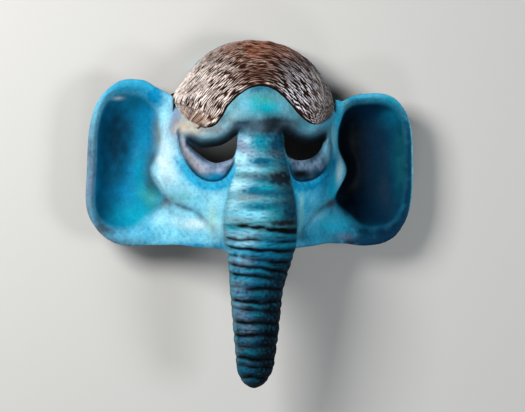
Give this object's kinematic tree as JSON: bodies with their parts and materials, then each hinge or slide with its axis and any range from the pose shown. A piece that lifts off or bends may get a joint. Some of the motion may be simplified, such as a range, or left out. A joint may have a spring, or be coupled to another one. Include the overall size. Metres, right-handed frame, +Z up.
{
  "type": "elephant mask",
  "caption": "Painted elephant half-mask: thin open-backed shell with cupped ears, drooping eye openings, raised combed hair and a long wrinkled hollow trunk.",
  "frame": {"origin": "on the surface it lies on, below the middle of its outline; it lies on the backs of its ears and the edge of its crown, face up", "axes": "+Z up out of the face, +Y towards the crown, +X towards the ear that the picture shows on the right"},
  "size_m": [0.3714, 0.384, 0.1493],
  "materials": {
    "painted_shell": "satin"
  },
  "bodies": {
    "root": {"elephant_mask": "painted_shell"}
  },
  "joints": []
}
